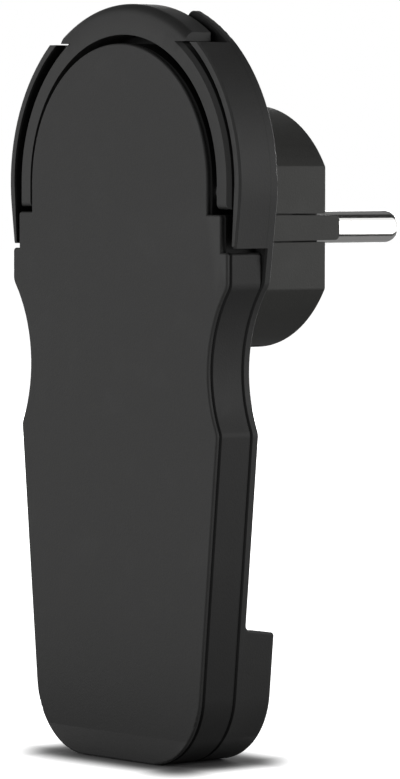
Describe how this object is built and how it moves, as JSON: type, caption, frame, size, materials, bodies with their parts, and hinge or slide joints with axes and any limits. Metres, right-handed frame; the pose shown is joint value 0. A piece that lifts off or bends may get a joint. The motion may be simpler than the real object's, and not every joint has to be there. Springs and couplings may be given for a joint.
{
  "type": "mains plug",
  "caption": "Flat angled plug with a slim handle, a round nose with round pins, and a hinged pull ring that folds flat round its head.",
  "frame": {"origin": "middle between the contact pins, on the plug face that meets the socket", "axes": "+Y along the pins into the socket, +Z along the handle towards the head, +X to the right seen from the front cover"},
  "size_m": [0.0534, 0.0459, 0.1107],
  "materials": {
    "shell": "fine matt dark grey",
    "nose": "fine matt dark grey",
    "inner_plastic": "plain moulded",
    "contact": "bright nickel plated",
    "earth_sheet": "nickel plated sheet",
    "steel": "zinc plated",
    "spring": "drawn wire",
    "bush": "matt black"
  },
  "bodies": {
    "housing": {"front_cover": "shell", "middle_frame": "shell", "rear_shell": "shell", "plug_nose": "nose", "contact_pin_left": "contact", "contact_pin_right": "contact", "pin_keeper_left": "inner_plastic", "pin_keeper_right": "inner_plastic", "terminal_screws": "steel", "earth_strap": "earth_sheet", "earth_socket": "earth_sheet", "earth_terminal_screw": "steel", "nose_screws": "steel", "housing_screws": "steel", "cord_clamp_bar": "inner_plastic", "cord_clamp_screws": "steel", "cord_inlet_bush": "bush", "ejector_spring_left": "spring", "ejector_spring_right": "spring"},
    "bail": {"pull_bail": "shell", "bail_pivot_left": "steel", "bail_pivot_right": "steel"},
    "slide_left": {"ejector_slide_left": "nose"},
    "slide_right": {"ejector_slide_right": "nose"}
  },
  "joints": [
    {"name": "bail_hinge", "type": "hinge", "parent": "housing", "child": "bail", "pos_m": [0, -0.0237, 0.0053], "axis": [1, 0, 0], "range_deg": [0, 90]},
    {"name": "slide_left_push", "type": "slide", "parent": "housing", "child": "slide_left", "axis": [0, 1, 0], "range_m": [-0.0026, 0], "stiffness_N_per_m": 150, "springref_m": 0.002, "deforming": ["ejector_spring_left"]},
    {"name": "slide_right_push", "type": "slide", "parent": "housing", "child": "slide_right", "axis": [0, 1, 0], "range_m": [-0.0026, 0], "stiffness_N_per_m": 150, "springref_m": 0.002, "deforming": ["ejector_spring_right"]}
  ]
}
